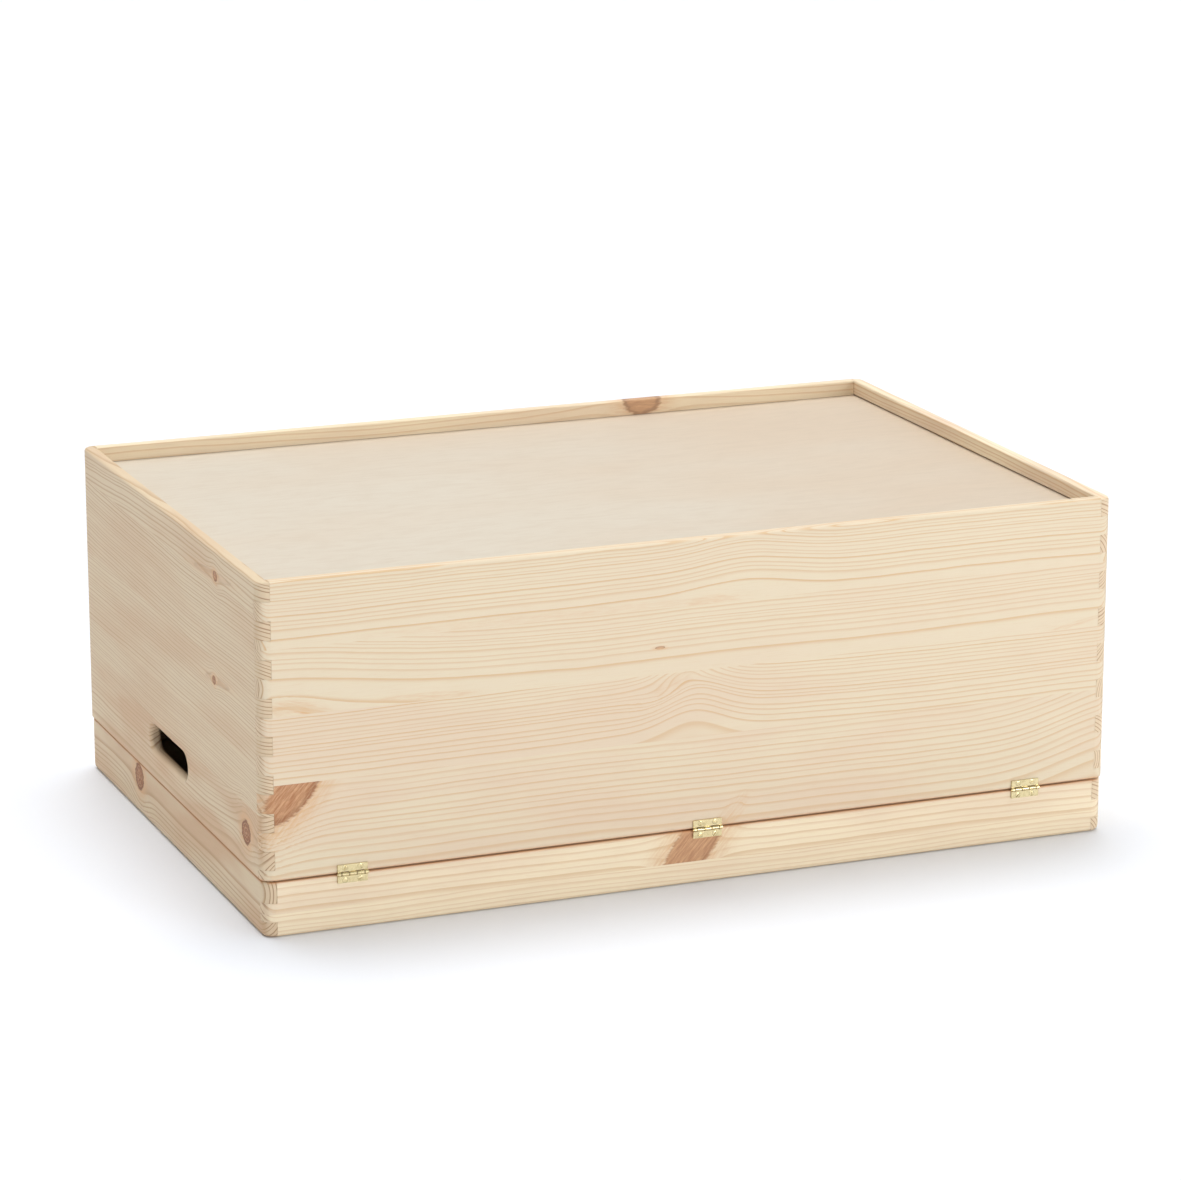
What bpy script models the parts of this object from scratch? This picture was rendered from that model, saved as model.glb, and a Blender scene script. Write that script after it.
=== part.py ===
"""A pine storage crate with a hinged lid, standing upside down on its closed lid.

The origin is the middle of the surface that the crate stands on. X runs along the long side, Z is up,
and the hinges are on the -Y side. The lid is a shallow tray at the bottom, and the crate is the deep box
above it, so the crate's own bottom panel is near the top. Boards meet in finger joints at every corner.
"""

import math

import bmesh
import bpy
from mathutils import Matrix, Vector

# Box, in metres
LENGTH = 0.600
LID_LENGTH = 0.598  # the lid stops 1 mm short of the crate at both ends
WIDTH = 0.400
LID_HEIGHT = 0.037
CRATE_HEIGHT = 0.196
SEAM_GAP = 0.001
BOARD = 0.0085  # thickness of every pine board
FINGER = 0.0126  # height of one finger of the corner joints
LID_SHORT_FINGER = 0.0103  # the finger left over at the lid's outer edge
GLUE_GAP = 0.00015  # play between glued faces

# Rounded edges
CORNER_ROUND = 0.008  # upright corners
RIM_ROUND = 0.002  # rim round the crate's bottom, outer edge
RIM_INNER_ROUND = 0.0012
SEAM_ROUND = 0.001
LID_EDGE_ROUND = 0.0035  # the lid's outer edge, which the box stands on
HOLE_ROUND = 0.003

# Plywood panels in their grooves
PANEL = 0.004
RECESS = 0.011  # from the outer edge of the boards to the panel's outer face
TONGUE = 0.0035  # how far a panel reaches into each groove
GROOVE = 0.004
GROOVE_PLAY = 0.0002
LONG_PLAY = 0.00015  # between a panel's outer face and the groove, long boards
SHORT_PLAY = 0.0010  # the same in the short boards

# Hand hole in each short wall
HOLE_LENGTH = 0.086
HOLE_HEIGHT = 0.0185
HOLE_ABOVE_SEAM = 0.0285
HOLE_OFFSET = 0.0045  # towards +Y

# Brass butt hinges
HINGE_PLACES = (-0.240, 0.006, 0.239)
HINGE_LENGTH = 0.0202
END_KNUCKLE = 0.0023  # the short knuckle at each end, with three longer ones between them
KNUCKLE_GAP = 0.00015
LEAF_REACH = 0.0061  # from the pin's axis to the leaf's free edge
LEAF = 0.0009
BARREL_RADIUS = 0.0013
BORE_RADIUS = 0.00065
PIN_RADIUS = 0.00055
PIN_HEAD_RADIUS = 0.0010
PIN_HEAD = 0.0006
LEAF_GAP = 0.0001  # between a leaf and the wood

# Screws, two in each leaf
SCREW_SPREAD = 0.0052  # from the hinge's middle
SCREW_REACH = 0.0041  # from the pin's axis
SCREW_LENGTH = 0.0068
SHANK_RADIUS = 0.00075
HEAD_RADIUS = 0.0017
DOME = 0.00015
SLOT_WIDTH = 0.0004
SLOT_DEPTH = 0.0004
PILOT_RADIUS = 0.0009
SCREW_GAP = 0.0001

TRIM = 0.001  # how far a blank stands past the surface that it is trimmed to
ARC_STEPS = 3
CORNER_STEPS = 6
ROUND_SIDES = 16

HALF_X = LENGTH / 2
LID_HALF_X = LID_LENGTH / 2
HALF_Y = WIDTH / 2
INNER_Y = HALF_Y - BOARD
CRATE_LOW = LID_HEIGHT + SEAM_GAP
CRATE_HIGH = CRATE_LOW + CRATE_HEIGHT
SEAM = LID_HEIGHT + SEAM_GAP / 2
AXIS_Y = -HALF_Y - LEAF_GAP - BARREL_RADIUS
KNUCKLE = (HINGE_LENGTH - 2 * END_KNUCKLE) / 3

PINE = ((0.80, 0.66, 0.47), 0.55, 0.0)
PLYWOOD = ((0.78, 0.68, 0.53), 0.6, 0.0)
BRASS = ((0.72, 0.60, 0.30), 0.3, 1.0)


# Scene helpers


def clear_scene():
    for old in list(bpy.data.objects):
        bpy.data.objects.remove(old, do_unlink=True)


def paint(mesh, name, look):
    colour, roughness, metallic = look
    material = bpy.data.materials.new(name)
    material.use_nodes = True
    shader = material.node_tree.nodes["Principled BSDF"]
    shader.inputs["Base Color"].default_value = (*colour, 1.0)
    shader.inputs["Roughness"].default_value = roughness
    shader.inputs["Metallic"].default_value = metallic
    mesh.materials.append(material)


def mesh_from(bm, name):
    bmesh.ops.recalc_face_normals(bm, faces=bm.faces)
    mesh = bpy.data.meshes.new(name)
    bm.to_mesh(mesh)
    bm.free()
    return mesh


def add_object(name, mesh):
    made = bpy.data.objects.new(name, mesh)
    bpy.context.scene.collection.objects.link(made)
    return made


def combine(target, other, operation):
    """Applies a Boolean to the target's mesh and removes the other object."""
    modifier = target.modifiers.new(operation.title(), "BOOLEAN")
    modifier.operation = operation
    modifier.solver = "EXACT"
    modifier.object = other
    evaluated = target.evaluated_get(bpy.context.evaluated_depsgraph_get())
    result = bpy.data.meshes.new_from_object(evaluated)
    target.modifiers.remove(modifier)
    target.data = result
    bpy.data.objects.remove(other, do_unlink=True)


def smooth(mesh):
    mesh.shade_smooth()
    mesh.set_sharp_from_angle(angle=math.radians(35))


# Plain solids


def block(name, low, high):
    """A box between two corners."""
    bm = bmesh.new()
    bmesh.ops.create_cube(bm, size=1.0)
    size = Vector(high) - Vector(low)
    middle = (Vector(high) + Vector(low)) / 2
    bm.transform(Matrix.Translation(middle) @ Matrix.Diagonal((*size, 1.0)))
    return add_object(name, mesh_from(bm, name))


def loop_solid(name, loops):
    """A closed solid through a stack of loops that all have the same number of points."""
    bm = bmesh.new()
    rings = [[bm.verts.new(point) for point in loop] for loop in loops]
    for lower, upper in zip(rings, rings[1:]):
        for i, vert in enumerate(lower):
            after = (i + 1) % len(lower)
            bm.faces.new((vert, lower[after], upper[after], upper[i]))
    bm.faces.new(rings[0])
    bm.faces.new(rings[-1])
    return add_object(name, mesh_from(bm, name))


def extrude(name, outline, start, end, place):
    """An outline swept from start to end; place(u, v, w) says where each point goes."""
    return loop_solid(name, [[place(u, v, w) for u, v in outline] for w in (start, end)])


def turned(name, profile, sides):
    """A solid turned about Z through (radius, z) points."""
    turns = [2 * math.pi * i / sides for i in range(sides)]
    loops = [[(r * math.cos(a), r * math.sin(a), z) for a in turns] for r, z in profile]
    return loop_solid(name, loops)


def rounded_rectangle(half_x, half_y, radius, steps):
    """Corner points of a rectangle, with each corner an arc of the given number of steps."""
    if steps == 0:
        return [(half_x, half_y), (-half_x, half_y), (-half_x, -half_y), (half_x, -half_y)]
    points = []
    for quarter, (side_x, side_y) in enumerate(((1, 1), (-1, 1), (-1, -1), (1, -1))):
        for i in range(steps + 1):
            angle = math.pi / 2 * (quarter + i / steps)
            x = side_x * (half_x - radius) + radius * math.cos(angle)
            y = side_y * (half_y - radius) + radius * math.sin(angle)
            points.append((x, y))
    return points


def stacked_rectangles(name, half_x, half_y, radius, profile, steps):
    """A solid through rounded rectangles, one for each (inset, z) of the profile."""
    loops = []
    for inset, z in profile:
        outline = rounded_rectangle(half_x - inset, half_y - inset, radius - inset, steps)
        loops.append([(x, y, z) for x, y in outline])
    return loop_solid(name, loops)


def arc_profile(radius, z, turn):
    """(inset, z) points of a rounded edge at height z; turn is 1 at a solid's top and -1 at its bottom."""
    angles = [math.pi / 2 * i / ARC_STEPS for i in range(ARC_STEPS + 1)]
    points = [(radius * (1 - math.cos(a)), z - turn * radius * (1 - math.sin(a))) for a in angles]
    return points if turn > 0 else points[::-1]


# Boards


def envelope(half_x, low, high, low_round, high_round):
    """The outside of a whole box of boards, with its edges rounded."""
    profile = arc_profile(low_round, low, -1) + arc_profile(high_round, high, 1)
    return stacked_rectangles("envelope", half_x, HALF_Y, CORNER_ROUND, profile, CORNER_STEPS)


def inner_flare(half_x, z, radius, turn):
    """Cutter that rounds the inner edge of a box of boards: turn is 1 at the box's top, -1 at its bottom."""
    start = (TRIM, -radius - TRIM)
    arc = [(-inset, drop) for inset, drop in arc_profile(radius, 0.0, 1)]
    profile = [(inset, z + turn * rise) for inset, rise in (start, *arc, (-radius, TRIM))]
    return stacked_rectangles("flare", half_x - BOARD, INNER_Y, 0.0, profile, 0)


def finger_outline(edges, starts_long, half_outer, half_inner):
    """Outline of a board with fingers at both ends.

    edges are the heights where fingers meet, from low to high. Every other finger is long, and it reaches
    half_outer plus a trimming allowance. The rest stop short of half_inner by the glue gap.
    """
    right = []
    long_finger = starts_long
    for i, (low, high) in enumerate(zip(edges, edges[1:])):
        shift = GLUE_GAP / 2 if long_finger else -GLUE_GAP / 2
        reach = half_outer + TRIM if long_finger else half_inner - GLUE_GAP
        bottom = low - TRIM if i == 0 else low + shift
        top = high + TRIM if i == len(edges) - 2 else high - shift
        right += [(reach, bottom), (reach, top)]
        long_finger = not long_finger
    left = [(-u, z) for u, z in reversed(right)]
    return right + left


def board(name, side, along_x, half_x, edges, starts_long):
    """A finger-jointed board with square edges, still oversize outwards. side is 1 or -1."""
    if along_x:
        outline = finger_outline(edges, starts_long, half_x, half_x - BOARD)
        return extrude(name, outline, INNER_Y, HALF_Y + TRIM, lambda u, z, w: (u, side * w, z))
    outline = finger_outline(edges, starts_long, HALF_Y, INNER_Y)
    return extrude(name, outline, half_x - BOARD, half_x + TRIM, lambda u, z, w: (side * w, u, z))


def groove(side, along_x, half_x, low, high):
    """Cutter for the slot between two heights that holds a panel in one board."""
    inner_x = half_x - BOARD
    if along_x:
        near = (-inner_x, side * INNER_Y - GROOVE, low)
        far = (inner_x, side * INNER_Y + GROOVE, high)
    else:
        near = (side * inner_x - GROOVE, -INNER_Y, low)
        far = (side * inner_x + GROOVE, INNER_Y, high)
    return block("groove", near, far)


def panel(name, half_x, low):
    """A plywood sheet with a tongue on each side and its corners cut away."""
    x, y = half_x - BOARD - GROOVE_PLAY, INNER_Y - GROOVE_PLAY
    far_x, far_y = half_x - BOARD + TONGUE, INNER_Y + TONGUE
    quarter = [(far_x, y), (x, y), (x, far_y)]
    outline = quarter + [(-u, v) for u, v in reversed(quarter)]
    outline += [(-u, -v) for u, v in quarter]
    outline += [(u, -v) for u, v in reversed(quarter)]
    return extrude(name, outline, low, low + PANEL, lambda u, v, w: (u, v, w))


def hand_hole(side):
    """Cutter for the hand hole: a slot with round ends whose edges flare out at both faces."""
    arc = arc_profile(HOLE_ROUND, BOARD, 1)
    outer = [(-inset, w) for inset, w in arc]
    inner = [(inset, BOARD - w) for inset, w in reversed(outer)]
    profile = [(-HOLE_ROUND, -TRIM), *inner, *outer, (-HOLE_ROUND, BOARD + TRIM)]
    cutter = stacked_rectangles(
        "hand_hole", HOLE_LENGTH / 2, HOLE_HEIGHT / 2, HOLE_HEIGHT / 2, profile, CORNER_STEPS
    )
    turn = Matrix(((0, 0, side, 0), (1, 0, 0, 0), (0, 1, 0, 0), (0, 0, 0, 1)))
    place = Matrix.Translation((side * (HALF_X - BOARD), HOLE_OFFSET, SEAM + HOLE_ABOVE_SEAM))
    cutter.data.transform(place @ turn)
    if side < 0:
        cutter.data.flip_normals()
    return cutter


def crate_edges():
    """Heights where the crate's fingers meet, counted down from the rim in whole fingers."""
    whole = int(CRATE_HEIGHT / FINGER)
    return [CRATE_LOW] + [CRATE_HIGH - FINGER * i for i in range(whole, -1, -1)]


def lid_edges():
    """Heights where the lid's fingers meet: a short one, a whole one, and what is left."""
    return [0.0, LID_SHORT_FINGER, LID_SHORT_FINGER + FINGER, LID_HEIGHT]


def crate_wall(name, side, along_x):
    """A wall of the crate. The short walls own the finger at the rim, the long walls the one below it."""
    edges = crate_edges()
    rim_is_long = not along_x
    starts_long = rim_is_long if len(edges) % 2 == 0 else not rim_is_long
    made = board(name, side, along_x, HALF_X, edges, starts_long)
    combine(made, envelope(HALF_X, CRATE_LOW, CRATE_HIGH, SEAM_ROUND, RIM_ROUND), "INTERSECT")
    combine(made, inner_flare(HALF_X, CRATE_HIGH, RIM_INNER_ROUND, 1), "DIFFERENCE")
    combine(made, inner_flare(HALF_X, CRATE_LOW, SEAM_ROUND, -1), "DIFFERENCE")
    panel_high = CRATE_HIGH - RECESS
    low, high = panel_high - PANEL - GROOVE_PLAY, panel_high + (LONG_PLAY if along_x else SHORT_PLAY)
    combine(made, groove(side, along_x, HALF_X, low, high), "DIFFERENCE")
    if not along_x:
        combine(made, hand_hole(side), "DIFFERENCE")
    return made


def lid_rail(name, side, along_x):
    """A rail of the lid. The short rails own the fingers at both edges."""
    made = board(name, side, along_x, LID_HALF_X, lid_edges(), not along_x)
    combine(made, envelope(LID_HALF_X, 0.0, LID_HEIGHT, LID_EDGE_ROUND, SEAM_ROUND), "INTERSECT")
    combine(made, inner_flare(LID_HALF_X, LID_HEIGHT, SEAM_ROUND, 1), "DIFFERENCE")
    combine(made, inner_flare(LID_HALF_X, 0.0, RIM_INNER_ROUND, -1), "DIFFERENCE")
    low, high = RECESS - (LONG_PLAY if along_x else SHORT_PLAY), RECESS + PANEL + GROOVE_PLAY
    combine(made, groove(side, along_x, LID_HALF_X, low, high), "DIFFERENCE")
    return made


# Hinges and screws


def outward():
    """Turns a shape's +Z to face out of the hinge side, which is -Y."""
    return Matrix.Rotation(math.radians(90), 4, "X")


def screw_place(hinge_x, end, up):
    """Where a screw's axis meets the wood: end is -1 or 1 along the hinge, up is 1 on the crate."""
    return Vector((hinge_x + end * SCREW_SPREAD, -HALF_Y, SEAM + up * SCREW_REACH))


def drill_pilots(made, up):
    """Blind holes for the screws of one leaf of every hinge."""
    for hinge_x in HINGE_PLACES:
        for end in (-1, 1):
            profile = [(PILOT_RADIUS, -SCREW_LENGTH), (PILOT_RADIUS, TRIM)]
            drill = turned("drill", profile, 10)
            drill.data.transform(Matrix.Translation(screw_place(hinge_x, end, up)) @ outward())
            combine(made, drill, "DIFFERENCE")


def knuckle_spans():
    """Where each knuckle starts and ends along the hinge, from -X to +X."""
    half = HINGE_LENGTH / 2
    bounds = [-half, *(END_KNUCKLE - half + KNUCKLE * i for i in range(4)), half]
    return list(zip(bounds, bounds[1:]))


def leaf_outline(up):
    """Side view of a leaf and its barrel, in (y, z) from the pin's axis."""
    inner = BARREL_RADIUS
    outer = BARREL_RADIUS - LEAF
    meets = math.acos(outer / BARREL_RADIUS)
    turn = 2 * math.pi - meets
    angles = [-turn * i / ROUND_SIDES for i in range(ROUND_SIDES + 1)]
    barrel = [(BARREL_RADIUS * math.cos(a), up * BARREL_RADIUS * math.sin(a)) for a in angles]
    return [(inner, up * LEAF_REACH), *barrel, (outer, up * LEAF_REACH)]


def leaf(name, up, owned):
    """A hinge leaf about its pin's axis. up is 1 on the crate; owned lists its knuckles' numbers."""
    half = HINGE_LENGTH / 2
    made = extrude(name, leaf_outline(up), -half, half, lambda y, z, x: (x, y, z))
    bore = turned("bore", [(BORE_RADIUS, -half - TRIM), (BORE_RADIUS, half + TRIM)], ROUND_SIDES)
    bore.data.transform(Matrix.Rotation(math.radians(90), 4, "Y"))
    combine(made, bore, "DIFFERENCE")
    for number, (start, end) in enumerate(knuckle_spans()):
        if number not in owned:
            cut_knuckle(made, start, end, up)
    for end in (-1, 1):
        combine(made, countersink(end, up), "DIFFERENCE")
    smooth(made.data)
    return made


def cut_knuckle(made, start, end, up):
    """Clears the room for one of the other leaf's knuckles."""
    half = HINGE_LENGTH / 2
    low_x = start - TRIM if start <= -half else start - KNUCKLE_GAP / 2
    high_x = end + TRIM if end >= half else end + KNUCKLE_GAP / 2
    clear = BARREL_RADIUS + 2 * KNUCKLE_GAP
    low = (low_x, -BARREL_RADIUS - TRIM, -clear)
    high = (high_x, BARREL_RADIUS + TRIM, clear)
    combine(made, block("clearance", low, high), "DIFFERENCE")


def countersink(end, up):
    """Cutter for a screw hole: a plain hole with a cone at the leaf's outer face."""
    cone = HEAD_RADIUS - SHANK_RADIUS
    profile = [
        (PILOT_RADIUS, -TRIM),
        (PILOT_RADIUS, LEAF - cone + SCREW_GAP),
        (HEAD_RADIUS + SCREW_GAP, LEAF),
        (HEAD_RADIUS + SCREW_GAP, LEAF + TRIM),
    ]
    cutter = turned("countersink", profile, ROUND_SIDES)
    place = Matrix.Translation((end * SCREW_SPREAD, BARREL_RADIUS, up * SCREW_REACH))
    cutter.data.transform(place @ outward())
    return cutter


def screw_mesh():
    """A small slotted screw. Its axis is Z, its head is up, and the wood's face is at z = 0."""
    top = LEAF_GAP + LEAF
    cone = HEAD_RADIUS - SHANK_RADIUS
    tip = SCREW_GAP - SCREW_LENGTH
    profile = [
        (SHANK_RADIUS / 3, tip),
        (SHANK_RADIUS, tip + 2 * SHANK_RADIUS),
        (SHANK_RADIUS, top - cone),
        (HEAD_RADIUS, top),
        (HEAD_RADIUS * 0.7, top + DOME * 0.7),
        (HEAD_RADIUS * 0.3, top + DOME),
    ]
    made = turned("screw", profile, ROUND_SIDES)
    low = (-HEAD_RADIUS - TRIM, -SLOT_WIDTH / 2, top + DOME - SLOT_DEPTH)
    high = (HEAD_RADIUS + TRIM, SLOT_WIDTH / 2, top + DOME + TRIM)
    combine(made, block("slot", low, high), "DIFFERENCE")
    smooth(made.data)
    mesh = made.data
    bpy.data.objects.remove(made, do_unlink=True)
    return mesh


def pin_mesh():
    """A hinge pin about X with a small domed head at each end."""
    half = HINGE_LENGTH / 2 + KNUCKLE_GAP
    head = [
        (PIN_RADIUS, half),
        (PIN_HEAD_RADIUS, half),
        (PIN_HEAD_RADIUS, half + PIN_HEAD * 0.5),
        (PIN_HEAD_RADIUS * 0.5, half + PIN_HEAD),
    ]
    profile = [(r, -x) for r, x in reversed(head)] + head
    made = turned("pin", profile, 12)
    made.data.transform(Matrix.Rotation(math.radians(90), 4, "Y"))
    smooth(made.data)
    mesh = made.data
    bpy.data.objects.remove(made, do_unlink=True)
    return mesh


# Assembly


def crate_pivot():
    """The empty that carries the crate, on the hinges' common axis."""
    pivot = add_object("crate_pivot", None)
    pivot.location = (0.0, AXIS_Y, SEAM)
    return pivot


def carry(made, pivot):
    made.parent = pivot
    made.matrix_parent_inverse = Matrix.Translation(pivot.location).inverted()


def copy_of(mesh, name, look):
    """An object with its own material on a shared shape."""
    own = mesh.copy()
    own.name = name
    paint(own, name, look)
    return add_object(name, own)


def build_crate(pivot):
    back = crate_wall("crate_back_wall", -1, True)
    drill_pilots(back, 1)
    front = crate_wall("crate_front_wall", 1, True)
    left = crate_wall("crate_left_wall", -1, False)
    right = crate_wall("crate_right_wall", 1, False)
    bottom = panel("crate_bottom_panel", HALF_X, CRATE_HIGH - RECESS - PANEL)
    for made, look in ((back, PINE), (front, PINE), (left, PINE), (right, PINE), (bottom, PLYWOOD)):
        smooth(made.data)
        paint(made.data, made.name, look)
        carry(made, pivot)


def build_lid():
    back = lid_rail("lid_back_rail", -1, True)
    drill_pilots(back, -1)
    front = lid_rail("lid_front_rail", 1, True)
    left = lid_rail("lid_left_rail", -1, False)
    right = lid_rail("lid_right_rail", 1, False)
    top = panel("lid_panel", LID_HALF_X, RECESS)
    for made, look in ((back, PINE), (front, PINE), (left, PINE), (right, PINE), (top, PLYWOOD)):
        smooth(made.data)
        paint(made.data, made.name, look)


def build_hinges(pivot):
    crate_leaf = leaf("crate_leaf", 1, (0, 2, 4))
    lid_leaf = leaf("lid_leaf", -1, (1, 3))
    pin = pin_mesh()
    screw = screw_mesh()
    for number, hinge_x in enumerate(HINGE_PLACES, start=1):
        place = Vector((hinge_x, AXIS_Y, SEAM))
        upper = copy_of(crate_leaf.data, f"hinge_{number}_crate_leaf", BRASS)
        upper.location = place
        carry(upper, pivot)
        lower = copy_of(lid_leaf.data, f"hinge_{number}_lid_leaf", BRASS)
        lower.location = place
        copy_of(pin, f"hinge_{number}_pin", BRASS).location = place
        for end, side in ((-1, "left"), (1, "right")):
            fixings = ((1, "crate", pivot), (-1, "lid", None))
            for up, part, holder in fixings:
                fixing = copy_of(screw, f"hinge_{number}_{part}_screw_{side}", BRASS)
                turn = Matrix.Rotation(math.radians(40 * number + 25 * end + 50 * up), 4, "Z")
                fixing.matrix_world = Matrix.Translation(screw_place(hinge_x, end, up)) @ outward() @ turn
                if holder:
                    carry(fixing, holder)
    for pattern in (crate_leaf, lid_leaf):
        bpy.data.objects.remove(pattern, do_unlink=True)


def main():
    clear_scene()
    pivot = crate_pivot()
    build_crate(pivot)
    build_lid()
    build_hinges(pivot)


main()
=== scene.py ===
"""Looks for a finger-jointed pine crate that stands upside down on its closed, hinged lid."""

import math
from dataclasses import dataclass

import bpy
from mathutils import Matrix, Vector


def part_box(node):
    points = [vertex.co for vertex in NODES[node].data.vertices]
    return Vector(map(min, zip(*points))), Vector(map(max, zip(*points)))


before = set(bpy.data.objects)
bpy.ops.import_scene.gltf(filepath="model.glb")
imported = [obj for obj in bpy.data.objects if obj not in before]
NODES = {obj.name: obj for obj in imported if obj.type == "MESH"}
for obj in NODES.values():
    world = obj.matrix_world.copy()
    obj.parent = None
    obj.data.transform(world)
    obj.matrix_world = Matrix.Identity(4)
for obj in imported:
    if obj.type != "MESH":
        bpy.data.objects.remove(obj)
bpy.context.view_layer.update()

SEAM = (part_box("lid_back_rail")[1].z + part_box("crate_back_wall")[0].z) / 2
HALF_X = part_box("crate_right_wall")[1].x
HALF_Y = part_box("crate_front_wall")[1].y
LID_HALF_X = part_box("lid_right_rail")[1].x
HINGES = ("hinge_1", "hinge_2", "hinge_3")

MM = 0.001

# Camera: where it stands, which way it looks in degrees, and its lens, in mm
CAMERA_PLACE = (-1.123, -2.814, 0.968)
CAMERA_AZIMUTH = -21.82
CAMERA_ELEVATION = 15.12
CAMERA_LENS = 138.8
CAMERA_SENSOR = 36.0
CAMERA_REACH = 100.0

# Studio: the room's brightness and its change from left to right, a bright backdrop that fades out
# between two heights over the horizon, a softbox overhead, a key light, and the floor
ROOM = 0.51
ROOM_SIDE = 0.12
ROOM_COLOUR = (0.97, 0.985, 1.0)
BACKDROP = 1.05
BACKDROP_FADE = (0.17, 0.10)
SOFTBOX = 5.9
SOFTBOX_ANGLE = 21
SOFTBOX_BLUR = 0.02
SOFTBOX_DIRECTION = Vector((0.0, 0.25, 1.0)).normalized()
KEY_PLACE = (1.5, -3.0, 0.6)
KEY_TARGET = (0.0, 0.0, 0.1)
KEY_SIZE = 1.0
KEY_POWER = 28.0
FLOOR_REACH = 30.0
FLOOR_ROUGHNESS = 0.9

# Shading of the meshes
SMOOTH_ANGLE = 40
WELD_DISTANCE = 0.00001
BY_FACE_AREA = 100

# Colours, linear
CREAM = (0.79, 0.67, 0.49)
# Bright lit tone: partly the boards' own paler colour, partly painted light
BRIGHT_LIT_CREAM = (0.93, 0.79, 0.57)
# Warm shaded tones: partly the left boards' own pinker colour, partly painted shade
WARM_SHADED_CREAM = (0.735, 0.595, 0.41)
PINK = (0.765, 0.58, 0.435)
WARM_SHADED_PINK = (0.665, 0.465, 0.295)
LATEWOOD = (0.68, 0.42, 0.195)
WARM_SHADED_LATEWOOD = (0.50, 0.30, 0.15)
END_GROUND = (0.73, 0.57, 0.385)
END_LATE = (0.38, 0.21, 0.12)
KNOT_RED = (0.46, 0.205, 0.095)
KNOT_PALE = (0.71, 0.425, 0.235)
KNOT_DARK = (0.22, 0.085, 0.040)
KNOT_HALO = (0.72, 0.43, 0.22)
# Painted light: the warm glow of light bounced in the seam gap
SEAM_GLOW = (0.62, 0.27, 0.10)
VENEER = (0.655, 0.58, 0.47)
VENEER_WARM = (0.64, 0.515, 0.385)
VENEER_SHADE = (0.56, 0.45, 0.335)
BRASS = (0.78, 0.66, 0.38)
BRASS_DULL = (0.52, 0.42, 0.22)
# BRASS_SHADE is painted shade, for the joints between the hinge knuckles
BRASS_SHADE = (0.16, 0.10, 0.04)
FLOOR = (0.84, 0.86, 0.90)

# Three kinds of pine, a plain one and lit and shaded copies of it: ground, blush and late wood
PLAIN_PINE = (CREAM, PINK, LATEWOOD)
# Painted light: the bright lit pine is paler partly by the boards' own tone and partly to brighten the far
# wall's inner face
BRIGHT_LIT_PINE = (BRIGHT_LIT_CREAM, PINK, LATEWOOD)
# Painted shade: the warm shaded pine on the left walls is darker partly by the boards' own tone and partly
# as shade of the side away from the light
WARM_SHADED_PINE = (WARM_SHADED_CREAM, WARM_SHADED_PINK, WARM_SHADED_LATEWOOD)


# Shader writing


class Nodes:
    """Writes shader nodes. Each method adds a node and returns its output."""

    def __init__(self, tree):
        self.tree = tree

    def connect(self, value, socket):
        if isinstance(value, bpy.types.NodeSocket):
            self.tree.links.new(value, socket)
        else:
            socket.default_value = value

    def add(self, kind, inputs=(), **settings):
        node = self.tree.nodes.new(kind)
        for name, value in settings.items():
            setattr(node, name, value)
        for name, value in dict(inputs).items():
            self.connect(value, node.inputs[name])
        return node

    def math(self, operation, *values):
        return self.add("ShaderNodeMath", dict(enumerate(values)), operation=operation).outputs[0]

    def vector(self, operation, *values):
        return self.add("ShaderNodeVectorMath", dict(enumerate(values)), operation=operation)

    def plus(self, *values):
        total = values[0]
        for value in values[1:]:
            total = self.math("ADD", total, value)
        return total

    def times(self, *values):
        total = values[0]
        for value in values[1:]:
            total = self.math("MULTIPLY", total, value)
        return total

    def minus(self, a, b):
        return self.math("SUBTRACT", a, b)

    def above(self, value, limit):
        return self.math("GREATER_THAN", value, limit)

    def join(self, x, y, z):
        return self.add("ShaderNodeCombineXYZ", {"X": x, "Y": y, "Z": z}).outputs[0]

    def split(self, vector):
        return self.add("ShaderNodeSeparateXYZ", {"Vector": vector}).outputs[:3]

    def noise(self, vector, scale=1.0, detail=2.0, rough=0.5):
        """Fractal noise from 0 to 1."""
        inputs = {"Vector": vector, "Scale": scale, "Detail": detail, "Roughness": rough}
        return self.add("ShaderNodeTexNoise", inputs).outputs[0]

    def random(self, value):
        """An even random number from 0 to 1 for each value."""
        return self.add("ShaderNodeTexWhiteNoise", {"W": value}, noise_dimensions="1D").outputs["Value"]

    def smooth(self, value, low, high, to_low=0.0, to_high=1.0):
        """A smooth step between two values."""
        inputs = {"Value": value, "From Min": low, "From Max": high, "To Min": to_low, "To Max": to_high}
        return self.add("ShaderNodeMapRange", inputs, interpolation_type="SMOOTHSTEP").outputs[0]

    def bell(self, value, centre, width):
        """A bump of height 1 about a centre."""
        offset = self.math("DIVIDE", self.minus(value, centre), width)
        return self.math("EXPONENT", self.times(offset, offset, -1.0))

    def mix(self, amount, a, b):
        """Colour a turning into colour b."""
        node = self.add("ShaderNodeMix", data_type="RGBA", clamp_factor=True)
        self.connect(amount, node.inputs["Factor"])
        for colour, socket in ((a, node.inputs[6]), (b, node.inputs[7])):
            self.connect((*colour, 1.0) if isinstance(colour, tuple) else colour, socket)
        return node.outputs[2]


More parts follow.
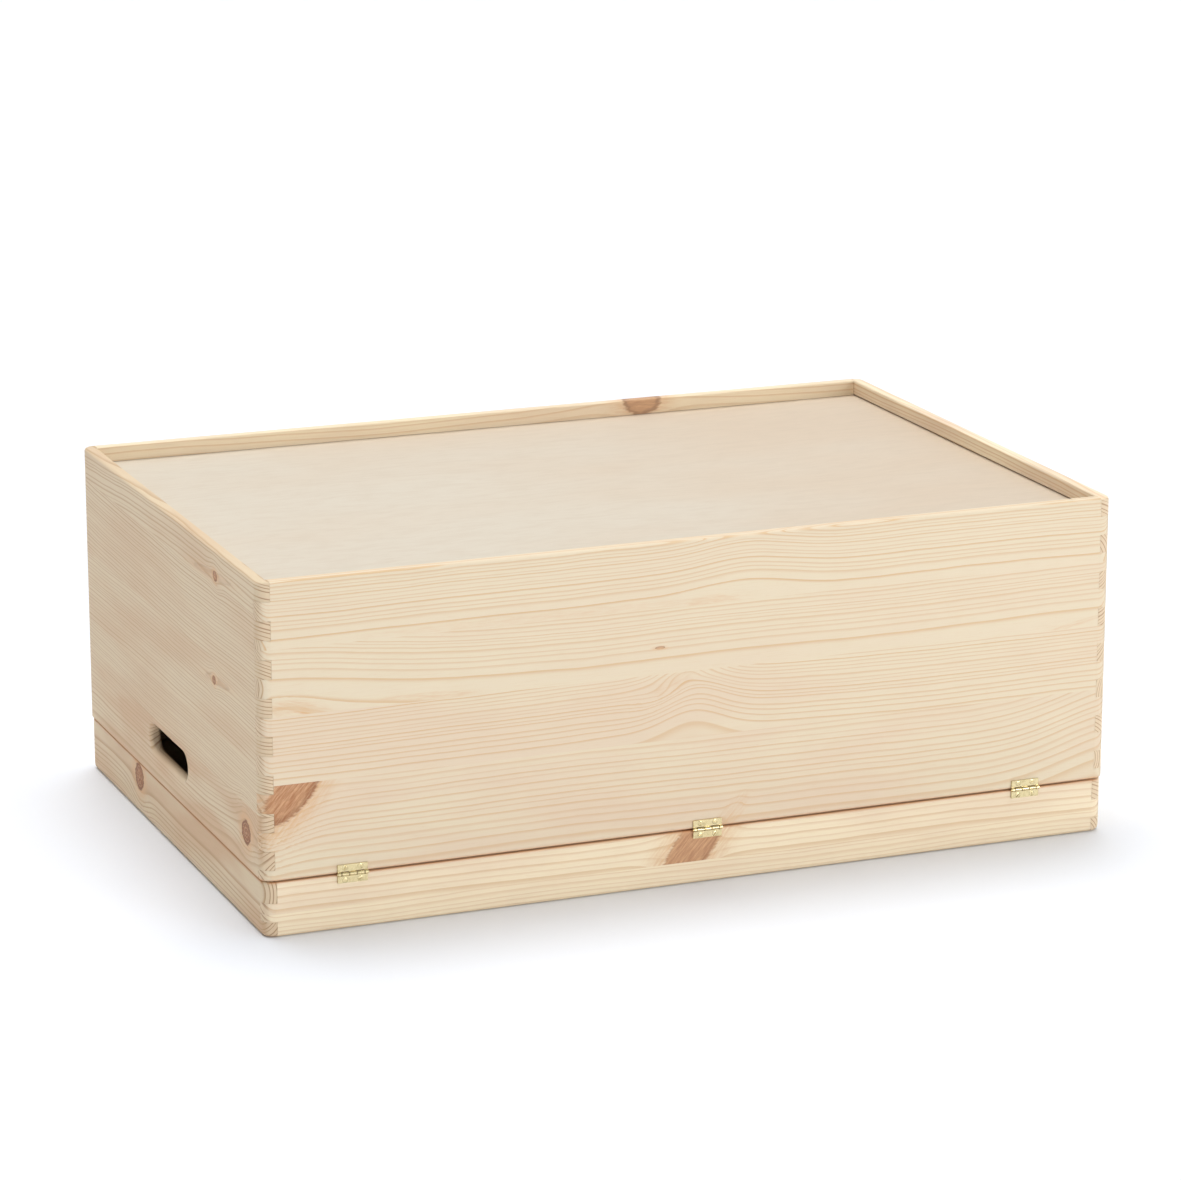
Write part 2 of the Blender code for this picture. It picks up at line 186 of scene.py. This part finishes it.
class Surface(Nodes):
    """The nodes of one new material."""

    def __init__(self, name):
        self.material = bpy.data.materials.new(name)
        self.material.use_nodes = True
        super().__init__(self.material.node_tree)
        self.shader = self.tree.nodes["Principled BSDF"]

    def set(self, name, value):
        """Sets a value that is the same all over the surface."""
        self.shader.inputs[name].default_value = value

    def finish(self, colour, roughness, height, depth):
        """Connects the surface. height is in units of depth, in metres."""
        bump = self.add("ShaderNodeBump", {"Height": height, "Distance": depth, "Strength": 1.0})
        self.connect(colour, self.shader.inputs["Base Color"])
        self.connect(roughness, self.shader.inputs["Roughness"])
        self.connect(bump.outputs[0], self.shader.inputs["Normal"])
        return self.material


# Pine


# Noise: repeats per metre along the board, up it, and through it where the two differ
SWAY = 3.1
WOBBLE = (16.0, 40.0)
CLOUD = (7.0, 30.0)
FIBRE = (45.0, 1500.0)
CANAL = (160.0, 2600.0)
STREAK = (70.0, 650.0)
RAGGED = (130.0, 420.0, 130.0)

# Grain: how far it strays up and down, in metres, and how its rings vary
SWAY_HEIGHT = 0.012
WOBBLE_HEIGHT = 0.0022
STRIP_SEED = 7.3  # from one strip's noise to the next one's
UNEVEN_SCALE = 0.45  # repeats per ring
UNEVEN_SEED = 3.0
UNEVEN_RINGS = 1.7
LATEWOOD_RISE = (0.52, 0.90)  # as parts of a ring
LATEWOOD_FALL = (1.0, 0.93)
WEAKEST_RING = 0.62

# Pine's surface: how much each thing tells, from 0 to 1, and the ranges of noise that show it
GRAIN_AMOUNT = 0.85
CLOUD_RANGE = (0.35, 0.70)
FIBRE_RANGE = (0.45, 0.85)
FIBRE_AMOUNT = 0.22
CANAL_RANGE = (0.70, 0.80)
CANAL_AMOUNT = 0.35
END_FACING = (0.45, 0.85)
END_LATE_RANGE = (0.1, 0.75)
END_LATE_AMOUNT = 0.85
END_AMOUNT = 0.80
# Painted light along the seam: its width, how deep under the outside it fades, and its strength
SEAM_GLOW_WIDTH = 0.0014
SEAM_GLOW_DEPTH = (0.003, 0.001)
SEAM_GLOW_AMOUNT = 0.8
WOOD_SHINE = 0.25
WOOD_ROUGHNESS = 0.52
FIBRE_ROUGHNESS = 0.16
LATE_ROUGHNESS = -0.08
FIBRE_RELIEF = 0.6
LATE_RELIEF = 0.5
WOOD_RELIEF = 0.00008  # metres

# Knots: distances are in knot radii
KNOT_OUTSIDE = 50.0
KNOT_RAGGED = 0.55
KNOT_PULL = 0.85
STREAK_RANGE = (0.32, 0.68)
HALO_RANGE = (2.3, 0.9)
HALO_GROUND = 0.25
HALO_STREAKS = 0.6
KNOT_RINGS = 3.0
KNOT_STREAKS = 0.85
KNOT_EDGE = (1.12, 0.90)
RIM_AT = 0.90
RIM_WIDTH = 0.16
RIM_FADE = (0.3, -0.5)
RIM_EVEN = 0.8
EYE_OUTLINE_AT = 0.9
EYE_OUTLINE_WIDTH = 0.30
EYE_OUTLINE_AMOUNT = 0.55
EYE_CORE_WIDTH = 0.55


@dataclass
class Strip:
    """One of the strips that a board is glued up from. Lengths are in metres.

    Growth rings are circles about the pith, a line at pith_depth behind the board's outer face and at
    pith_height above the floor. rise, rise_at and rise_width bend the grain up around one place.
    """

    top: float
    pith_depth: float
    pith_height: float
    ring: float
    rise: float
    rise_at: float
    rise_width: float
    pink: float
    contrast: float


@dataclass
class Knot:
    """A knot at a place on a board, cut off at the heights low and high, in metres.

    long and short are its half sizes, and turn is in degrees from level. spread is how far the grain bends
    round it. dark, colour and rim are how much its rings, all of it, and its rim tell. An eye is only a
    trace of a knot.
    """

    along: float
    height: float
    long: float
    short: float
    turn: float
    low: float
    high: float
    dark: float = 0.3
    spread: float = 2.2
    colour: float = 1.0
    rim: float = 0.85
    one_sided: bool = False
    eye: bool = False


def mm_strips(*rows):
    """Strips from rows of a Strip's values, with the lengths in millimetres."""
    return [Strip(*(length * MM for length in lengths), pink, contrast) for *lengths, pink, contrast in rows]


def mm_knot(along, height, long, short, turn=0.0, low=-1000, high=1000, **more):
    """A knot from lengths in millimetres."""
    return Knot(along * MM, height * MM, long * MM, short * MM, turn, low * MM, high * MM, **more)


def strip_values(s, steps, rows):
    """Three numbers that are constant on each strip, one row for each strip."""
    value = rows[0]
    for step, before, after in zip(steps, rows, rows[1:]):
        value = s.vector("MULTIPLY_ADD", step, tuple(Vector(after) - Vector(before)), value).outputs[0]
    return s.split(value) if len(rows) > 1 else value


def board_coordinates(s, along_x, side, half):
    """Distance along the board, height, depth behind its outer face, how far it faces its end, and
    depth below the crate's outside.
    """
    place = s.add("ShaderNodeTexCoord")
    x, y, z = s.split(place.outputs["Object"])
    normal_x, normal_y, _ = s.split(place.outputs["Normal"])
    along, across, facing = (x, y, normal_x) if along_x else (y, x, normal_y)
    depth = s.minus(half, s.times(across, side))
    end = s.smooth(s.math("ABSOLUTE", facing), *END_FACING)
    skin_x = s.minus(HALF_X, s.math("ABSOLUTE", x))
    skin_y = s.minus(HALF_Y, s.math("ABSOLUTE", y))
    return along, z, depth, end, s.math("MINIMUM", skin_x, skin_y)


def straying(s, along, height, seed):
    """How far the grain strays from level: a slow sway and a finer wobble."""
    sway = s.noise(s.join(s.times(along, SWAY), seed, 0.0), detail=1.0)
    wobble = s.noise(s.join(s.times(along, WOBBLE[0]), s.times(height, WOBBLE[1]), seed))
    return s.plus(s.times(s.minus(sway, 0.5), SWAY_HEIGHT), s.times(s.minus(wobble, 0.5), WOBBLE_HEIGHT))


def knot_fields(s, along, height, knot, ragged):
    """A point's distance from a knot in knot radii, its offsets along and across it, and its height over it.

    The distance is far past any knot where the point isn't on the knot's own strip.
    """
    turn = math.radians(knot.turn)
    right, up = s.minus(along, knot.along), s.minus(height, knot.height)
    u = s.plus(s.times(right, math.cos(turn)), s.times(up, math.sin(turn)))
    v = s.minus(s.times(up, math.cos(turn)), s.times(right, math.sin(turn)))
    radii = s.vector("LENGTH", s.join(s.times(u, 1 / knot.long), s.times(v, 1 / knot.short), 0.0))
    outside = s.plus(s.above(knot.low, height), s.above(height, knot.high))
    reach = s.plus(radii.outputs["Value"], s.times(outside, KNOT_OUTSIDE), ragged)
    return reach, u, v, up


def growth_rings(s, across, back, ring, seed):
    """How much late wood a point has, from its distance to the pith, across and back."""
    radius = s.math("SQRT", s.plus(s.times(across, across), s.times(back, back)))
    count = s.math("DIVIDE", radius, ring)
    uneven = s.noise(s.join(s.times(count, UNEVEN_SCALE), seed, UNEVEN_SEED), detail=1.0)
    count = s.plus(count, s.times(uneven, UNEVEN_RINGS))
    part = s.math("FRACT", count)
    strength = s.smooth(s.random(s.plus(s.math("FLOOR", count), seed)), 0.0, 1.0, WEAKEST_RING, 1.0)
    return s.times(s.smooth(part, *LATEWOOD_RISE), s.smooth(part, *LATEWOOD_FALL), strength)


def fine_noise(s, scales, along, height, depth, seed=0.0, **settings):
    """Noise that is drawn out along the board."""
    along_scale, across_scale = scales
    place = s.join(s.times(along, along_scale), s.times(height, across_scale), s.times(depth, across_scale))
    place = s.vector("ADD", place, s.join(0.0, seed, 0.0)).outputs[0]
    return s.noise(place, **settings)


def eye_colour(s, knot, reach, streak, colour):
    """A faint outline and core over the board's colour."""
    outline = s.bell(reach, EYE_OUTLINE_AT, EYE_OUTLINE_WIDTH)
    core = s.bell(reach, 0.0, EYE_CORE_WIDTH)
    amount = s.plus(s.times(outline, streak, EYE_OUTLINE_AMOUNT), s.times(core, streak))
    return s.mix(s.times(amount, knot.colour), colour, KNOT_HALO)


def knot_colour(s, knot, reach, v, streak, colour):
    """A warm halo over the board's colour, and in it a streaked, ringed knot with a dark rim."""
    halo = s.plus(s.times(streak, HALO_STREAKS), HALO_GROUND)
    colour = s.mix(s.times(s.smooth(reach, *HALO_RANGE), halo, knot.colour), colour, KNOT_HALO)
    inner = s.mix(s.times(streak, KNOT_STREAKS), KNOT_RED, KNOT_PALE)
    rings = s.math("FRACT", s.times(reach, KNOT_RINGS))
    inner = s.mix(s.times(rings, knot.dark), inner, KNOT_DARK)
    top, bottom = RIM_FADE
    below = s.smooth(v, top * knot.short, bottom * knot.short) if knot.one_sided else RIM_EVEN
    inner = s.mix(s.times(s.bell(reach, RIM_AT, RIM_WIDTH), below, knot.rim), inner, KNOT_DARK)
    return s.mix(s.times(s.smooth(reach, *KNOT_EDGE), knot.colour), colour, inner)


def pine(name, along_x, side, half, strips, knots, seed, tones):
    """Sanded pine for a board glued up from strips, with growth rings that agree on every face."""
    s = Surface(name)
    along, height, depth, end, skin = board_coordinates(s, along_x, side, half)
    steps = [s.above(height, strip.top) for strip in strips[:-1]]
    pith_depth, pith_height, ring = strip_values(
        s, steps, [(p.pith_depth, p.pith_height, p.ring) for p in strips]
    )
    rise, rise_at, rise_width = strip_values(s, steps, [(p.rise, p.rise_at, p.rise_width) for p in strips])
    pink, contrast, strip_seed = strip_values(
        s, steps, [(p.pink, p.contrast, seed + STRIP_SEED * i) for i, p in enumerate(strips)]
    )

    # The grain's path along the board and round its knots
    level = s.minus(height, s.times(rise, s.bell(along, rise_at, rise_width)))
    level = s.plus(level, straying(s, along, height, strip_seed))
    ragged = s.join(*(s.times(value, scale) for value, scale in zip((along, height, depth), RAGGED)))
    ragged = s.times(s.minus(s.noise(ragged, detail=4.0, rough=0.65), 0.5), KNOT_RAGGED)
    placed = []
    for knot in knots:
        reach, u, v, up = knot_fields(s, along, height, knot, ragged)
        placed.append((knot, reach, u, v))
        pull = s.math("EXPONENT", s.times(reach, reach, -1 / knot.spread**2))
        level = s.minus(level, s.times(up, pull, KNOT_PULL))

    # Growth rings, fibres, resin canals and clouds of colour
    late = growth_rings(s, s.minus(level, pith_height), s.minus(depth, pith_depth), ring, strip_seed)
    fibre = fine_noise(s, FIBRE, along, height, depth, seed=strip_seed, detail=3.0, rough=0.65)
    canals = s.smooth(fine_noise(s, CANAL, along, height, depth, detail=1.0), *CANAL_RANGE)
    cloud = s.noise(s.join(s.times(along, CLOUD[0]), s.times(height, CLOUD[1]), strip_seed))

    # Colour on the faces
    ground, blush, latewood = tones
    colour = s.mix(s.times(s.smooth(cloud, *CLOUD_RANGE), pink), ground, blush)
    colour = s.mix(s.times(late, contrast, GRAIN_AMOUNT), colour, latewood)
    colour = s.mix(s.times(s.smooth(fibre, *FIBRE_RANGE), FIBRE_AMOUNT), colour, latewood)
    colour = s.mix(s.times(canals, CANAL_AMOUNT, s.smooth(end, 1.0, 0.0)), colour, KNOT_HALO)

    # Colour on the ends
    cut = s.mix(s.smooth(late, *END_LATE_RANGE, 0.0, END_LATE_AMOUNT), END_GROUND, END_LATE)
    colour = s.mix(s.times(end, END_AMOUNT), colour, cut)

    # Knots
    for knot, reach, u, v in placed:
        streak = s.join(s.times(u, STREAK[0]), s.times(v, STREAK[1]), depth)
        streak = s.smooth(s.noise(streak, detail=3.0, rough=0.65), *STREAK_RANGE)
        if knot.eye:
            colour = eye_colour(s, knot, reach, streak, colour)
        else:
            colour = knot_colour(s, knot, reach, v, streak, colour)

    # Painted light along the seam, on the outside: the warm, darker glow of light bounced in the seam gap
    painted_seam_glow = s.times(s.bell(height, SEAM, SEAM_GLOW_WIDTH), s.smooth(skin, *SEAM_GLOW_DEPTH), SEAM_GLOW_AMOUNT)
    colour = s.mix(painted_seam_glow, colour, SEAM_GLOW)

    s.set("Specular IOR Level", WOOD_SHINE)
    roughness = s.plus(s.times(fibre, FIBRE_ROUGHNESS), s.times(late, LATE_ROUGHNESS), WOOD_ROUGHNESS)
    relief = s.plus(s.times(fibre, FIBRE_RELIEF), s.times(late, LATE_RELIEF))
    return s.finish(colour, roughness, relief, WOOD_RELIEF)


# The boards. Each row is a strip: its top, the pith's depth and height, the width of a ring, how far the
# grain rises, where, and over what width, then how pink it is and how strong its grain is.


def crate_back_pine():
    """The hinge side, in full view: four strips."""
    strips = mm_strips(
        (101, 25, 28, 3.7, 18, 310, 55, 0.55, 0.65),
        (146, 30, 90, 2.2, 12, -4, 28, 0.45, 0.82),
        (190, 32, 152, 1.9, 10, -310, 95, 0.25, 0.78),
        (234, 30, 188, 1.75, 7, 35, 42, 0.15, 0.82),
    )
    knots = (
        mm_knot(-278, 97, 27, 12, 50, low=0, high=101, dark=0.15, spread=1.6, rim=0.4, one_sided=True),
        mm_knot(22, 44, 16, 6, 50, low=0, high=101, spread=0.7, colour=0.55, eye=True),
        mm_knot(-272, 148, 18, 6, -12, low=146, high=190, spread=1.6, colour=0.8, eye=True),
        mm_knot(-185, 149, 30, 2.2, -2, low=146, high=190, spread=0.8, colour=0.6, eye=True),
        mm_knot(275, 149, 22, 1.4, 11, low=146, high=190, spread=0.8, colour=0.6, eye=True),
        mm_knot(-18, 139, 12, 5, 25, low=101, high=146, spread=1.8, colour=0.4, eye=True),
        mm_knot(10, 190, 16, 5, 0, low=190, high=234, spread=1.6, colour=0.7, eye=True),
        mm_knot(-100, 193, 110, 2.5, 0, low=190, high=234, spread=0.8, colour=0.35, eye=True),
        mm_knot(-28, 164, 3.5, 0.9, 0, low=146, high=190, dark=0.0, spread=1.5, colour=0.7),
    )
    return pine("pine_crate_back", True, -1, HALF_Y, strips, knots, 1.0, PLAIN_PINE)


def crate_left_pine():
    """The short wall in view: five strips of finer, straighter grain."""
    strips = mm_strips(
        # The lowest strip's strong pink darkens it, partly its own pinker tone and partly painted shade low
        # on the wall
        (81, 20, 30, 2.6, 6, -168, 60, 1.6, 0.8),
        (112, -20, 10, 2.3, 0, 0, 100, 0.5, 0.8),
        (160, 15, 240, 2.5, 0, 0, 100, 0.7, 0.9),
        (212, -25, 100, 2.4, 6, 200, 150, 0.5, 0.9),
        (234, 20, 290, 3.0, -9, 200, 150, 0.7, 1.0),
    )
    knots = (
        mm_knot(-105, 217, 42, 3.0, -4, dark=0.0, spread=1.2, colour=0.22),
        mm_knot(-112, 217, 4.5, 3.2, 10, dark=0.5, spread=2.6),
        mm_knot(-112, 147, 26, 3.0, -4, dark=0.0, spread=1.2, colour=0.22),
        mm_knot(-105, 146, 3.6, 3.0, 0, dark=0.8, spread=2.6),
        mm_knot(-168, 62, 9, 8, 0, dark=0.9, spread=2.4),
    )
    return pine("pine_crate_left", False, -1, HALF_X, strips, knots, 2.0, WARM_SHADED_PINE)


def lid_back_pine():
    """The lid's hinge side, in full view: a thin strip and a thick one, with a slanting knot."""
    strips = mm_strips(
        (15.5, 30, -25, 2.3, 0, 0, 100, 0.35, 0.6),
        (38, 25, -5, 4.0, 0, 0, 100, 0.4, 0.6),
    )
    knot = mm_knot(
        -4, 25, 30, 13, 50, low=15.5, high=60, dark=0.1, spread=1.7, colour=0.9, rim=0.3, one_sided=True
    )
    return pine("pine_lid_back", True, -1, HALF_Y, strips, (knot,), 3.0, BRIGHT_LIT_PINE)


def lid_left_pine():
    """The lid's short side in view, with a round knot."""
    # Its strong pink darkens the rail, partly its own tone and partly painted shade
    strips = mm_strips((38, -20, 30, 2.4, 4, 120, 70, 1.3, 0.9))
    knots = (mm_knot(79, 27, 10, 9.5, 0, dark=0.9, spread=2.4),)
    return pine("pine_lid_left", False, -1, LID_HALF_X, strips, knots, 4.0, WARM_SHADED_PINE)


def crate_front_pine():
    """The free side. Its inner face shows above the crate's bottom panel."""
    strips = mm_strips(
        (92, 28, 60, 2.6, 8, -120, 60, 0.3, 0.8),
        (150, -30, 160, 2.4, 0, 0, 100, 0.2, 0.8),
        (205, 30, 140, 2.8, 9, 60, 50, 0.4, 0.7),
        (234, 25, 216, 2.2, 5, 121, 60, 0.4, 0.6),
    )
    knots = (
        mm_knot(121, 234, 15, 12, 0, dark=0.1, spread=2.2, colour=0.75),
        mm_knot(-150, 118, 9, 7, 0, dark=0.25, spread=2.4),
        mm_knot(60, 64, 5, 4, 0, dark=0.4, spread=2.6),
    )
    # Its bright lit pine holds painted light that brightens the inner face
    return pine("pine_crate_front", True, 1, HALF_Y, strips, knots, 5.0, BRIGHT_LIT_PINE)


def crate_right_pine():
    """The other short wall."""
    strips = mm_strips(
        (85, 22, 52, 2.4, 5, 120, 60, 0.5, 0.7),
        (138, -26, 95, 2.0, 0, 0, 100, 0.3, 0.7),
        (196, 28, 205, 2.2, 4, -150, 80, 0.5, 0.7),
        (234, 24, 190, 2.4, 3, 30, 90, 0.7, 0.9),
    )
    knots = (
        mm_knot(95, 120, 7, 6, 0, dark=0.3, spread=2.4),
        mm_knot(-120, 170, 4, 3.2, 0, dark=0.5, spread=2.6),
    )
    return pine("pine_crate_right", False, 1, HALF_X, strips, knots, 6.0, BRIGHT_LIT_PINE)


def lid_front_pine():
    """The lid's free side."""
    strips = mm_strips(
        (22, 28, -20, 2.6, 0, 0, 100, 0.4, 0.7),
        (38, -25, 50, 2.2, 0, 0, 100, 0.3, 0.7),
    )
    knots = (mm_knot(-170, 20, 8, 6, 0, dark=0.3, spread=2.2),)
    return pine("pine_lid_front", True, 1, HALF_Y, strips, knots, 7.0, BRIGHT_LIT_PINE)


def lid_right_pine():
    """The lid's other short side, with no knot."""
    strips = mm_strips((38, 24, -10, 2.6, 3, -60, 60, 0.4, 0.7))
    return pine("pine_lid_right", False, 1, LID_HALF_X, strips, (), 8.0, BRIGHT_LIT_PINE)


# Plywood


@dataclass
class Figure:
    """A pattern in veneer: repeats per metre along it and across it, the noise that shows, and how much."""

    along: float
    across: float
    shown: tuple
    amount: float
    detail: float
    rough: float = 0.5


FIGURES = {
    "waves": Figure(38.0, 150.0, (0.40, 0.70), 0.26, 3.0, 0.6),
    "lines": Figure(3.0, 190.0, (0.50, 0.75), 0.14, 2.0),
    "fibre": Figure(60.0, 1300.0, (0.45, 0.80), 0.34, 3.0, 0.65),
    "pores": Figure(240.0, 2300.0, (0.66, 0.80), 0.45, 1.0),
}
DRIFT = (5.0, 9.0)
DRIFT_WIDTH = 0.05
PATCHES = (4.0, 7.0)
PATCH_SEED = 2.0
WARMER_ALONG_X = 0.9
WARMER_ALONG_Y = 0.4
WARMTH_RANGE = (0.25, 0.85)
VENEER_ROUGHNESS = 0.50
VENEER_FIBRE_ROUGHNESS = 0.14
VENEER_RELIEF = 0.00005


def plywood(name, seed):
    """Sanded birch plywood: pale veneer, warmer toward one end, with a faint figure and fine pores."""
    s = Surface(name)
    x, y, _ = s.split(s.add("ShaderNodeTexCoord").outputs["Object"])
    drift = s.noise(s.join(s.times(x, DRIFT[0]), s.times(y, DRIFT[1]), seed), detail=3.0)
    row = s.plus(y, s.times(drift, DRIFT_WIDTH))
    patches = s.noise(s.join(s.times(x, PATCHES[0]), s.times(y, PATCHES[1]), seed + PATCH_SEED))
    warmth = s.plus(patches, s.times(x, WARMER_ALONG_X), s.times(y, WARMER_ALONG_Y))
    colour = s.mix(s.smooth(warmth, *WARMTH_RANGE), VENEER, VENEER_WARM)
    patterns = {}
    for kind, figure in FIGURES.items():
        place = s.join(s.times(x, figure.along), s.times(row, figure.across), seed)
        patterns[kind] = s.noise(place, detail=figure.detail, rough=figure.rough)
        amount = s.times(s.smooth(patterns[kind], *figure.shown), figure.amount)
        colour = s.mix(amount, colour, VENEER_SHADE)
    fibre = patterns["fibre"]
    roughness = s.plus(s.times(fibre, VENEER_FIBRE_ROUGHNESS), VENEER_ROUGHNESS)
    return s.finish(colour, roughness, fibre, VENEER_RELIEF)


# Brass


# Hinges: knuckles and the painted shade in the joints between them
KNUCKLE = 0.0052
KNUCKLE_JOINTS = [KNUCKLE * place for place in (-1.5, -0.5, 0.5, 1.5)]
KNUCKLE_SHADE = 0.00040
KNUCKLE_SHADE_AMOUNT = 0.9
KNUCKLE_PROUD = (0.0013, 0.0017)

# Noise: repeats per metre, the ranges that show, and how much they change the colour and the gloss
ROLLING = (700.0, 4000.0, 4000.0)
ROLLING_RANGE = (0.45, 0.75)
ROLLING_AMOUNT = 0.30
TARNISH_SCALE = 420.0
TARNISH_RANGE = (0.42, 0.75)
TARNISH_AMOUNT = 0.55
BRASS_ROUGHNESS = 0.10
TARNISH_ROUGHNESS = 0.16
ROLLING_ROUGHNESS = 0.12
BRASS_RELIEF = 0.00002


def brass(name, centre):
    """Satin brass with fine marks, a little tarnish, and painted shade in the joints between the knuckles.
    """
    s = Surface(name)
    place = s.add("ShaderNodeTexCoord").outputs["Object"]
    x, y, _ = s.split(place)
    rolled = s.noise(s.vector("MULTIPLY", place, ROLLING).outputs[0], detail=3.0)
    tarnish = s.noise(place, scale=TARNISH_SCALE, detail=3.0, rough=0.6)
    colour = s.mix(s.smooth(tarnish, *TARNISH_RANGE, 0.0, TARNISH_AMOUNT), BRASS, BRASS_DULL)
    colour = s.mix(s.smooth(rolled, *ROLLING_RANGE, 0.0, ROLLING_AMOUNT), colour, BRASS_DULL)
    # Painted shade: dark bands at the joints between the knuckles, on the proud knuckle row only
    painted_joint_shade = s.plus(*(s.bell(x, centre + joint, KNUCKLE_SHADE) for joint in KNUCKLE_JOINTS))
    proud = s.smooth(y, *(-HALF_Y - distance for distance in KNUCKLE_PROUD))
    colour = s.mix(s.times(painted_joint_shade, proud, KNUCKLE_SHADE_AMOUNT), colour, BRASS_SHADE)
    roughness = s.plus(
        s.times(tarnish, TARNISH_ROUGHNESS), s.times(rolled, ROLLING_ROUGHNESS), BRASS_ROUGHNESS
    )
    s.set("Metallic", 1.0)
    return s.finish(colour, roughness, rolled, BRASS_RELIEF)


# Putting the looks on


def repaint(node, material):
    mesh = NODES[node].data
    mesh.materials.clear()
    mesh.materials.append(material)


def soften(node):
    """Smooth shading on round faces and crisp shading at sharp edges, with the flat faces kept flat."""
    piece = NODES[node]
    piece.data.shade_smooth()
    weld = piece.modifiers.new("Weld", "WELD")
    weld.merge_threshold = WELD_DISTANCE
    edges = piece.modifiers.new("Edges", "EDGE_SPLIT")
    edges.split_angle = math.radians(SMOOTH_ANGLE)
    normals = piece.modifiers.new("Normals", "WEIGHTED_NORMAL")
    normals.weight = BY_FACE_AREA


def paint_wood():
    repaint("crate_back_wall", crate_back_pine())
    repaint("crate_left_wall", crate_left_pine())
    repaint("crate_front_wall", crate_front_pine())
    repaint("crate_right_wall", crate_right_pine())
    repaint("lid_back_rail", lid_back_pine())
    repaint("lid_left_rail", lid_left_pine())
    repaint("lid_front_rail", lid_front_pine())
    repaint("lid_right_rail", lid_right_pine())
    repaint("crate_bottom_panel", plywood("plywood_crate", 1.0))
    repaint("lid_panel", plywood("plywood_lid", 9.0))


def paint_brass():
    for hinge in HINGES:
        low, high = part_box(hinge + "_lid_leaf")
        material = brass("brass_" + hinge, (low.x + high.x) / 2)
        for node in NODES:
            if node.startswith(hinge):
                repaint(node, material)


# Studio


def add_floor():
    """A matt white floor that reaches to the horizon."""
    mesh = bpy.data.meshes.new("floor")
    corners = [(FLOOR_REACH * x, FLOOR_REACH * y, 0.0) for x, y in ((-1, -1), (1, -1), (1, 1), (-1, 1))]
    mesh.from_pydata(corners, [], [(0, 1, 2, 3)])
    floor = bpy.data.objects.new("floor", mesh)
    bpy.context.scene.collection.objects.link(floor)
    s = Surface("floor")
    s.set("Base Color", (*FLOOR, 1.0))
    s.set("Roughness", FLOOR_ROUGHNESS)
    s.set("Specular IOR Level", 0.0)
    mesh.materials.append(s.material)


def add_key_light():
    """A square softbox in front, to the right."""
    light = bpy.data.lights.new("key", "AREA")
    light.shape = "SQUARE"
    light.size = KEY_SIZE
    light.energy = KEY_POWER
    lamp = bpy.data.objects.new("key", light)
    lamp.location = KEY_PLACE
    lamp.rotation_euler = (Vector(KEY_PLACE) - Vector(KEY_TARGET)).to_track_quat("Z", "Y").to_euler()
    bpy.context.scene.collection.objects.link(lamp)


def add_world():
    """A white room, dimmer to the left, with a bright backdrop all round and one large softbox overhead."""
    world = bpy.data.worlds.new("studio")
    world.use_nodes = True
    s = Nodes(world.node_tree)
    direction = s.add("ShaderNodeTexCoord").outputs["Generated"]
    x, _, z = s.split(direction)
    room = s.plus(s.times(x, ROOM_SIDE), ROOM)
    room = s.plus(room, s.times(s.smooth(z, *BACKDROP_FADE), s.minus(BACKDROP, room)))
    towards = s.vector("DOT_PRODUCT", direction, SOFTBOX_DIRECTION).outputs["Value"]
    edge = math.cos(math.radians(SOFTBOX_ANGLE))
    softbox = s.smooth(towards, edge - SOFTBOX_BLUR, edge + SOFTBOX_BLUR, 0.0, SOFTBOX)
    background = world.node_tree.nodes["Background"]
    background.inputs["Color"].default_value = (*ROOM_COLOUR, 1.0)
    s.connect(s.plus(room, softbox), background.inputs["Strength"])
    bpy.context.scene.world = world


def add_camera():
    lens = bpy.data.cameras.new("camera")
    lens.sensor_width = CAMERA_SENSOR
    lens.lens = CAMERA_LENS
    lens.clip_end = CAMERA_REACH
    camera = bpy.data.objects.new("camera", lens)
    azimuth, elevation = math.radians(CAMERA_AZIMUTH), math.radians(CAMERA_ELEVATION)
    flat = math.cos(elevation)
    back = Vector((math.sin(azimuth) * flat, -math.cos(azimuth) * flat, math.sin(elevation)))
    camera.location = CAMERA_PLACE
    camera.rotation_euler = back.to_track_quat("Z", "Y").to_euler()
    bpy.context.scene.collection.objects.link(camera)
    bpy.context.scene.camera = camera


def add_studio():
    add_floor()
    add_key_light()
    add_world()
    add_camera()
    bpy.context.scene.view_settings.view_transform = "Standard"


for cad_node in NODES:
    soften(cad_node)
paint_wood()
paint_brass()
add_studio()
